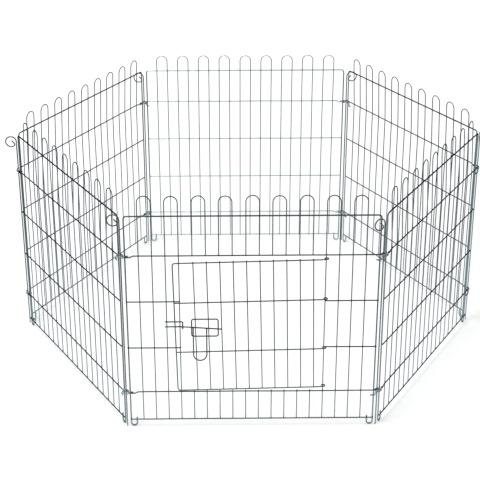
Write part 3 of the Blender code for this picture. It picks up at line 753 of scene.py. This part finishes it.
def pin_path(hinge, curl_z):
    """Corner pin: a straight rod with a curl at the top, whose end is hooked back inside it."""
    curl = arc((hinge.curl_radius, 0.0, curl_z), hinge.curl_radius, math.pi, -CURL_TURN)
    turned = math.pi - CURL_TURN
    inward = hinge.curl_radius - hinge.hook_radius
    hook_centre = (hinge.curl_radius + inward * math.cos(turned), 0.0, curl_z + inward * math.sin(turned))
    hook = arc(hook_centre, hinge.hook_radius, turned, -HOOK_TURN)
    heading = turned - HOOK_TURN - math.pi / 2
    x, y, z = hook[-1]
    tip = (x + hinge.tip_length * math.cos(heading), y, z + hinge.tip_length * math.sin(heading))
    return [(0.0, 0.0, 0.0)] + curl + hook[1:] + [tip]


def crossings(panel, uprights, heights, y):
    """Weld places where uprights cross rails."""
    return [(upright_x(panel, n), y, z) for n in uprights for z in heights]


def top_crossings(panel, uprights):
    """Weld places where hairpins pass the frame wire's top run."""
    return crossings(panel, uprights, (panel.top_height,), panel.frame_gauge / 2 + CLEARANCE / 2)


def hairpin_row(panel, uprights, foot, y, heights, seed, tones):
    """A row of hairpins that makes these uprights, by the geometry tree."""
    skin = panel.upright_gauge / 2
    spots = [(x, y - skin, z) for x in (0.0, pitch(panel)) for z in heights]
    spots += [(x, planes(panel)["top_pass"] - skin, panel.top_height) for x in (0.0, pitch(panel))]
    path = path_mesh([hairpin_path(panel, foot, y)], panel.upright_gauge, spots, tones=tones)
    return grown("Row of hairpins", path, "thin_wire", {
        "Count": len(uprights) // 2, "Start": upright_x(panel, uprights[0]), "Spacing": 2 * pitch(panel),
        "Play": panel.play, "Shortest": 0.9975, "Seed": seed, "Gauge": panel.upright_gauge,
        "Sides": FINE_SIDES})


class PEN_OT_frame_wires(bpy.types.Operator):
    """Bend the frame wire of each panel, with its upturned feet"""
    bl_idname = "pen.frame_wires"
    bl_label = "Frame wires"

    def execute(self, context):
        panel = context.scene.pen_panel
        half, skin = panel.width / 2, panel.frame_gauge / 2
        heights = (panel.upper_hinge_height, panel.upper_mid_height, panel.lower_mid_height,
                   panel.lower_hinge_height, panel.bottom_height)
        welds = crossings(panel, all_uprights(panel), (panel.top_height,), skin)
        welds += [(x, -skin, z) for x in (-half, half) for z in heights]
        for index, name in enumerate(PANEL_NAMES):
            mesh = wires([frame_path(panel)], panel.frame_gauge, "frame_wire", welds, THICK_SIDES,
                         tones=PANEL_TONES_AND_PAINTED_LIGHT[name][2:])
            show(f"{name}_frame_wire", [mesh], panel_matrix(panel, index), "frame_wire", f"{name}_panel",
                 f"{name}_frame")
        return {"FINISHED"}


class PEN_OT_grilles(bpy.types.Operator):
    """Weld the hairpins and cross rails of each panel"""
    bl_idname = "pen.grilles"
    bl_label = "Hairpins and cross rails"

    def execute(self, context):
        panel = context.scene.pen_panel
        door = context.scene.pen_door
        layers = planes(panel)
        half = panel.width / 2
        edge = half + panel.frame_gauge / 2
        foot = panel.bottom_height - END_LAP
        contact = layers["rail"] + panel.rail_gauge / 2 - WELD_SINK / 2
        side_contact = -(panel.frame_gauge / 2 + CLEARANCE / 2)
        mids = (panel.upper_mid_height, panel.lower_mid_height)
        heights = (*mids, panel.upper_hinge_height, panel.lower_hinge_height, panel.bottom_height)
        every = list(all_uprights(panel))
        cut = list(cut_uprights(door))
        beside = [n for n in every if n not in cut]
        side_welds = [(x, side_contact, z) for x in (-half, half) for z in (*mids, panel.bottom_height)]
        for index, name in enumerate(PANEL_NAMES):
            # Each panel has its own seeds, so no two of them waver alike.
            seed = 10 * index + 3
            tones = PANEL_TONES_AND_PAINTED_LIGHT[name][:2]
            if name == "front":
                whole = beside
                rows = [(every[:every.index(cut[0])], seed + every[0]),
                        (every[every.index(cut[-1]) + 1:], seed + cut[-1] + 1)]
                left_end = upright_x(panel, cut[0] - 1) + END_LAP
                right_end = upright_x(panel, cut[-1] + 1) - END_LAP
                spans = [(-edge, left_end, z) for z in mids] + [(right_end, edge, z) for z in mids]
            else:
                whole = every
                rows = [(every, seed)]
                spans = [(-edge, edge, z) for z in mids]
            spans.append((-edge, edge, panel.bottom_height))
            meshes = [hairpin_row(panel, row, foot, layers["upright"], heights, row_seed, tones)
                      for row, row_seed in rows]
            if name == "front":
                stubs = [[(upright_x(panel, n), layers["upright"], z)
                          for z in (foot, panel.lower_hinge_height + END_LAP)] for n in cut]
                stub_welds = crossings(panel, cut, (panel.bottom_height, panel.lower_hinge_height), contact)
                meshes.append(wires(stubs, panel.upright_gauge, "thin_wire", stub_welds))
            welds = crossings(panel, every, (panel.bottom_height,), contact)
            welds += crossings(panel, whole, mids, contact)
            rails = [wavering_rail(start, end, z, layers["rail"], RAIL_WAVER, seed + 5 * z)
                     for start, end, z in spans]
            meshes += [wires(rails, panel.rail_gauge, "thin_wire", welds + side_welds, tones=tones),
                       nuggets(welds, "cross", seed),
                       nuggets(side_welds + top_crossings(panel, whole), "edge", seed + 1)]
            show(f"{name}_hairpins_and_rails", meshes, panel_matrix(panel, index), "thin_wire",
                 f"{name}_panel", f"{name}_grille")
        return {"FINISHED"}


class PEN_OT_hinge_rails(bpy.types.Operator):
    """Bend the hinge rails, whose ends are eyes round the corner pins"""
    bl_idname = "pen.hinge_rails"
    bl_label = "Hinge rails"

    def execute(self, context):
        panel = context.scene.pen_panel
        hinge = context.scene.pen_hinge
        half = panel.width / 2
        face = planes(panel)["hinge_rail"] + panel.rail_gauge / 2
        side_contact = (face - panel.frame_gauge / 2) / 2
        cut = cut_uprights(context.scene.pen_door)
        for index, name in enumerate(PANEL_NAMES):
            tones = PANEL_TONES_AND_PAINTED_LIGHT[name][:2]
            for level, rail_z, shift in (("upper", panel.upper_hinge_height, 2),
                                         ("lower", panel.lower_hinge_height, 5)):
                seed = 7 * index + shift
                welds = crossings(panel, all_uprights(panel), (rail_z,), face + CLEARANCE / 2)
                side_welds = [(-half, side_contact, rail_z - hinge.eye_drop), (half, side_contact, rail_z)]
                meshes = [wires([hinge_rail_path(panel, hinge, rail_z, seed)], panel.rail_gauge, "thin_wire",
                                welds + side_welds, tones=tones, eyes_from=half - EYE_HIGHLIGHT_START),
                          nuggets(welds, "hinge", seed), nuggets(side_welds, "hinge side", seed + 1)]
                if name == "front" and level == "upper":
                    y = face + panel.upright_gauge / 2 - WELD_SINK
                    meshes += [hairpin_row(panel, cut, rail_z - END_LAP, y, (rail_z,), seed + 2, tones),
                               nuggets(top_crossings(panel, cut), "edge", seed + 3)]
                show(f"{name}_{level}_hinge_wire", meshes, panel_matrix(panel, index), "thin_wire",
                     f"{name}_panel", f"{name}_{level}_hinge_rail")
        return {"FINISHED"}


class PEN_OT_corner_pins(bpy.types.Operator):
    """Bend the six corner pins, each curled at its top"""
    bl_idname = "pen.corner_pins"
    bl_label = "Corner pins"

    def execute(self, context):
        panel = context.scene.pen_panel
        hinge = context.scene.pen_hinge
        for index, (name, direction, curl_z, play, tone) in enumerate(CORNER_PINS):
            mesh = wires([pin_path(hinge, curl_z)], hinge.pin_gauge, "pin_wire", sides=THICK_SIDES,
                         tones=(tone, tone))
            foot = corner(panel, index) + Vector((play, 0.0, 0.0))
            turn = Matrix.Rotation(math.radians(direction), 4, "Z")
            show(f"{name}_corner_rod", [mesh], Matrix.Translation(foot) @ turn, "pin_wire",
                 f"pin_{name}", f"corner_pin_{name}")
        return {"FINISHED"}


def door_planes(panel, door):
    """Distances of the door's layers of wire from the plane of the panel's side wires, by name."""
    rail_r, upright_r, frame_r = panel.rail_gauge / 2, panel.upright_gauge / 2, door.frame_gauge / 2
    frame_y = planes(panel)["rail"] - rail_r - frame_r - CLEARANCE - DOOR_PLAY
    upright = frame_y + frame_r + upright_r + CLEARANCE
    return {"frame": frame_y, "upright": upright, "rail": upright - upright_r - rail_r + WELD_SINK}


def sagged(panel, door, points):
    """Points of the door as it hangs: turned in its own plane about the middle of the hinge."""
    pivot = Vector((upright_x(panel, door.last_upright + 1), 0.0, (door.top_height + door.bottom_height) / 2))
    turn = Matrix.Rotation(-door.sag, 3, "Y")
    return [tuple(turn @ (Vector(point) - pivot) + pivot) for point in points]


def door_eye(panel, door, z, thickness, y):
    """Open eye of a door wire round the hinge upright, drawn from the door's side of it."""
    hinge_x = upright_x(panel, door.last_upright + 1)
    radius = panel.upright_gauge / 2 + DOOR_EYE_PLAY + thickness / 2
    centre = (hinge_x + DOOR_EYE_SHIFT, planes(panel)["upright"], z)
    approach = sagged(panel, door, [(hinge_x - 3 * radius, y, z)])
    return approach + arc(centre, radius, -math.pi / 2, DOOR_EYE_TURN, "xy")


class PEN_OT_door(bpy.types.Operator):
    """Bend and weld the door, hung on its hinge upright by four eyes"""
    bl_idname = "pen.door"
    bl_label = "Door"

    def execute(self, context):
        panel = context.scene.pen_panel
        door = context.scene.pen_door
        layers = door_planes(panel, door)
        free_x = upright_x(panel, door.last_upright + 1) - door.width
        ends = (door.top_height, door.bottom_height)
        heights = (door.upper_rail_height, door.lower_rail_height)
        places = door_upright_places(panel, door)

        corners = []
        for z, start in ((ends[0] - DOOR_CORNER, math.pi / 2), (ends[1] + DOOR_CORNER, math.pi)):
            corners += arc((free_x + DOOR_CORNER, layers["frame"], z), DOOR_CORNER, start, math.pi / 2)
        top, bottom = (door_eye(panel, door, z, door.frame_gauge, layers["frame"]) for z in ends)
        path = rounded(top[::-1] + sagged(panel, door, corners) + bottom, WIRE_BEND)
        touch = layers["frame"] + door.frame_gauge / 2 + CLEARANCE / 2
        edge_welds = sagged(panel, door, [(x, touch, z) for x in places for z in ends])
        start = free_x + door.frame_gauge / 2 + CLEARANCE
        side_welds = sagged(panel, door, [(start, layers["rail"], z) for z in heights])
        edge_wire = wires([path], door.frame_gauge, "thin_wire", edge_welds + side_welds, DOOR_SIDES)
        matrix = panel_matrix(panel, 0)
        show("door_edge_wire", [edge_wire], matrix, "thin_wire", "door", "door_frame")

        contact = layers["rail"] + panel.rail_gauge / 2 - WELD_SINK / 2
        cross_welds = sagged(panel, door, [(x, contact, z) for x in places for z in heights])
        uprights = [sagged(panel, door, [(x, layers["upright"], ends[1] - END_LAP),
                                         (x, layers["upright"], ends[0] + END_LAP)]) for x in places]
        rails = [rounded(sagged(panel, door, [(start, layers["rail"], z)])
                         + door_eye(panel, door, z, panel.rail_gauge, layers["rail"]), WIRE_BEND)
                 for z in heights]
        meshes = [wires(uprights, panel.upright_gauge, "thin_wire", cross_welds + edge_welds),
                  wires(rails, panel.rail_gauge, "thin_wire", cross_welds + side_welds),
                  nuggets(cross_welds, "cross", 61), nuggets(edge_welds, "edge", 62),
                  nuggets(side_welds, "door side", 63)]
        show("door_uprights_and_rails", meshes, matrix, "thin_wire", "door", "door_grille")
        return {"FINISHED"}


def bolt_z(latch, distance):
    """Height of the bolt's axis at a distance from the left side wire."""
    return latch.bolt_height - (distance - latch.bolt_left) * math.tan(latch.bolt_tilt)


def bolt_y(panel, door, latch):
    upright = door_planes(panel, door)["upright"]
    return upright - panel.upright_gauge / 2 - latch.bolt_gauge / 2 - CLEARANCE


class PEN_OT_latch_guide(bpy.types.Operator):
    """Bend the keeper on the panel and the bolt's guide on the door"""
    bl_idname = "pen.latch_guide"
    bl_label = "Keeper and bolt guide"

    def execute(self, context):
        panel = context.scene.pen_panel
        door = context.scene.pen_door
        latch = context.scene.pen_latch
        half = panel.width / 2
        matrix = panel_matrix(panel, 0)
        wire_r, upright_r = latch.wire_gauge / 2, panel.upright_gauge / 2

        touch = planes(panel)["upright"] + upright_r + CLEARANCE / 2
        behind = touch + wire_r + CLEARANCE / 2
        turned = behind - (KEEPER_NOSE - KEEPER_TURN)
        upper = [(x - half, y, KEEPER_TOP) for x, y in ((KEEPER_LEFT, behind), (KEEPER_TURN, behind),
                                                        (KEEPER_NOSE, turned), (KEEPER_NOSE, -KEEPER_REACH))]
        lower = [(x, y, KEEPER_BOTTOM) for x, y, _ in reversed(upper)]
        welds = crossings(panel, KEEPER_UPRIGHTS, (KEEPER_TOP, KEEPER_BOTTOM), touch)
        meshes = [wires([rounded(upper + lower, KEEPER_BEND)], latch.wire_gauge, "latch_wire", welds,
                        THICK_SIDES),
                  nuggets(welds, "latch", 71, "latch_wire")]
        show("keeper_wire", meshes, matrix, "latch_wire", "front_panel", "latch_keeper")

        flat = door_planes(panel, door)["upright"] - upright_r - wire_r - CLEARANCE
        hump = bolt_y(panel, door, latch) - latch.bolt_gauge / 2 - wire_r - CLEARANCE - DOOR_PLAY
        rise = flat - hump
        left, right = latch.guide_left - half, latch.guide_right - half
        down = [(left, flat, HUMP_TOP + rise), (left, hump, HUMP_TOP), (left, hump, HUMP_BOTTOM),
                (left, flat, HUMP_BOTTOM - rise)]
        up = [(right, y, z) for _, y, z in reversed(down)]
        low, high = latch.guide_bottom + GUIDE_CORNER, latch.guide_top - GUIDE_CORNER
        corners = [arc((x, flat, z), GUIDE_CORNER, quarter * math.pi / 2, math.pi / 2)
                   for x, z, quarter in ((left + GUIDE_CORNER, low, 2), (right - GUIDE_CORNER, low, 3),
                                         (right - GUIDE_CORNER, high, 0), (left + GUIDE_CORNER, high, 1))]
        path = rounded(down + corners[0] + corners[1] + up + corners[2] + corners[3], HUMP_BEND, closed=True)
        welds = [(x, flat + wire_r + CLEARANCE / 2, z) for x in door_upright_places(panel, door)
                 if left < x < right for z in (latch.guide_top, latch.guide_bottom)]
        meshes = [wires([path], latch.wire_gauge, "latch_wire", welds, THICK_SIDES, closed=True),
                  nuggets(welds, "latch", 72, "latch_wire")]
        show("bolt_guide_wire", meshes, matrix, "latch_wire", "door", "latch_guide")
        return {"FINISHED"}


class PEN_OT_latch_bolt(bpy.types.Operator):
    """Cut the slide bolt and bend the handle welded across it"""
    bl_idname = "pen.latch_bolt"
    bl_label = "Bolt and handle"

    def execute(self, context):
        panel = context.scene.pen_panel
        latch = context.scene.pen_latch
        half = panel.width / 2
        matrix = panel_matrix(panel, 0)
        y = bolt_y(panel, context.scene.pen_door, latch)
        touch = y - latch.bolt_gauge / 2 - CLEARANCE / 2
        legs = (latch.handle_left, latch.handle_right)
        welds = [(x - half, touch, bolt_z(latch, x)) for x in legs]
        path = [(x - half, y, bolt_z(latch, x)) for x in (latch.bolt_left, latch.bolt_right)]
        show("slide_bolt_rod", [wires([path], latch.bolt_gauge, "latch_wire", welds, THICK_SIDES)], matrix,
             "latch_wire", "bolt", "latch_bolt")

        front = touch - latch.wire_gauge / 2 - CLEARANCE / 2
        left, right = ([(x - half, front, bolt_z(latch, x) + HANDLE_END), (x - half, front, HANDLE_KNEE)]
                       for x in legs)
        bend = (legs[1] - legs[0]) / 2
        bow = arc((legs[0] - half + bend, front, latch.handle_bottom + bend), bend, math.pi, math.pi)
        leaning = [(x, y - max(0.0, HANDLE_KNEE - z) * math.tan(HANDLE_LEAN), z)
                   for x, y, z in left + bow + right[::-1]]
        meshes = [wires([leaning], latch.wire_gauge, "latch_wire", welds, THICK_SIDES),
                  nuggets(welds, "handle", 73, "latch_wire")]
        show("pull_handle_wire", meshes, matrix, "latch_wire", "handle", "latch_handle")
        return {"FINISHED"}


def shown_rays(tree):
    """Share of a ray that should see the pale studio: 1 for the camera and for mirrors and glass."""
    rays = add_node(tree, "ShaderNodeLightPath").outputs
    first = add_math(tree, "MAXIMUM", rays["Is Camera Ray"], rays["Is Glossy Ray"])
    return add_math(tree, "MAXIMUM", first, rays["Is Transmission Ray"])


class PEN_OT_stage(bpy.types.Operator):
    """Lay the pale floor, light it softly and set the camera"""
    bl_idname = "pen.stage"
    bl_label = "Floor, light and camera"

    def execute(self, context):
        looks = context.scene.pen_stage
        context.scene.view_settings.view_transform = "Standard"

        # Seamless studio paper: matt and even, so it shows nothing but the pen's soft shadow
        paper, tree, shader = new_material("studio_paper")
        spot = add_node(tree, "ShaderNodeTexCoord").outputs["Object"]
        reach = add_node(tree, "ShaderNodeVectorMath", {"operation": "LENGTH", 0: spot}).outputs["Value"]
        paleness = add_range(tree, reach, GLOW_REACH, (looks.floor_glow, looks.far_glow))
        glow = add_math(tree, "MULTIPLY", shown_rays(tree), paleness)
        feed(tree, shader, {"Base Color": looks.floor, "Roughness": 0.95, "Specular IOR Level": 0.0,
                            "Emission Color": (1.0, 1.0, 1.0, 1.0), "Emission Strength": glow})
        mesh = bpy.data.meshes.new("studio_floor")
        corners = [(x * FLOOR_REACH, y * FLOOR_REACH, 0) for x, y in ((-1, -1), (1, -1), (1, 1), (-1, 1))]
        mesh.from_pydata(corners, [], [(0, 1, 2, 3)])
        mesh.materials.append(paper)
        floor = stand("studio_floor", mesh)

        world = bpy.data.worlds.new("studio")
        context.scene.world = world
        world.use_nodes = True
        tree = world.node_tree
        strength = add_range(tree, shown_rays(tree), (0.0, 1.0), (looks.sky, 1.0))
        feed(tree, tree.nodes["Background"], {"Color": looks.background, "Strength": strength})

        lamp = bpy.data.lights.new("overhead_softbox", "AREA")
        lamp.shape = "SQUARE"
        lamp.size = LAMP_SIDE
        lamp.energy = looks.lamp
        softbox = stand("overhead_softbox", lamp)
        softbox.location = LAMP_PLACE
        softbox.rotation_euler = (-LAMP_PLACE).to_track_quat("-Z", "Y").to_euler()

        lens = bpy.data.cameras.new("camera")
        lens.sensor_width = SENSOR_WIDTH
        lens.lens = looks.camera_lens
        camera = stand("camera", lens)
        stance = Matrix.Translation(looks.camera_place)
        for turn, axis in ((-looks.camera_yaw, "Z"), (math.pi / 2 - looks.camera_pitch, "X"),
                           (looks.camera_roll, "Z")):
            stance = stance @ Matrix.Rotation(turn, 4, axis)
        camera.matrix_world = stance
        context.scene.camera = camera
        return {"FINISHED"}


GROUPS = (("pen_panel", PanelSizes), ("pen_hinge", HingeSizes), ("pen_door", DoorSizes),
          ("pen_latch", LatchSizes), ("pen_colours", WireColours), ("pen_stage", StageLooks))
OPERATORS = (PEN_OT_frame_wires, PEN_OT_grilles, PEN_OT_hinge_rails, PEN_OT_corner_pins, PEN_OT_door,
             PEN_OT_latch_guide, PEN_OT_latch_bolt, PEN_OT_stage)


class PEN_PT_sidebar(bpy.types.Panel):
    """Lists the pen's pieces in the order in which they are made"""
    bl_label = "Wire pen"
    bl_idname = "PEN_PT_sidebar"
    bl_space_type = "VIEW_3D"
    bl_region_type = "UI"
    bl_category = "Wire pen"

    def draw(self, context):
        for pointer, group in GROUPS:
            column = self.layout.column()
            for name in group.__annotations__:
                column.prop(getattr(context.scene, pointer), name)
        for operator in OPERATORS:
            self.layout.operator(operator.bl_idname)


def register():
    for name, group in GROUPS:
        bpy.utils.register_class(group)
        setattr(bpy.types.Scene, name, bpy.props.PointerProperty(type=group))
    for operator in OPERATORS:
        bpy.utils.register_class(operator)
    bpy.utils.register_class(PEN_PT_sidebar)


def unregister():
    bpy.utils.unregister_class(PEN_PT_sidebar)
    for operator in reversed(OPERATORS):
        bpy.utils.unregister_class(operator)
    for name, group in reversed(GROUPS):
        delattr(bpy.types.Scene, name)
        bpy.utils.unregister_class(group)


def main():
    register()
    bpy.ops.pen.frame_wires()
    bpy.ops.pen.grilles()
    bpy.ops.pen.hinge_rails()
    bpy.ops.pen.corner_pins()
    bpy.ops.pen.door()
    bpy.ops.pen.latch_guide()
    bpy.ops.pen.latch_bolt()
    bpy.ops.pen.stage()


if __name__ == "__main__":
    main()
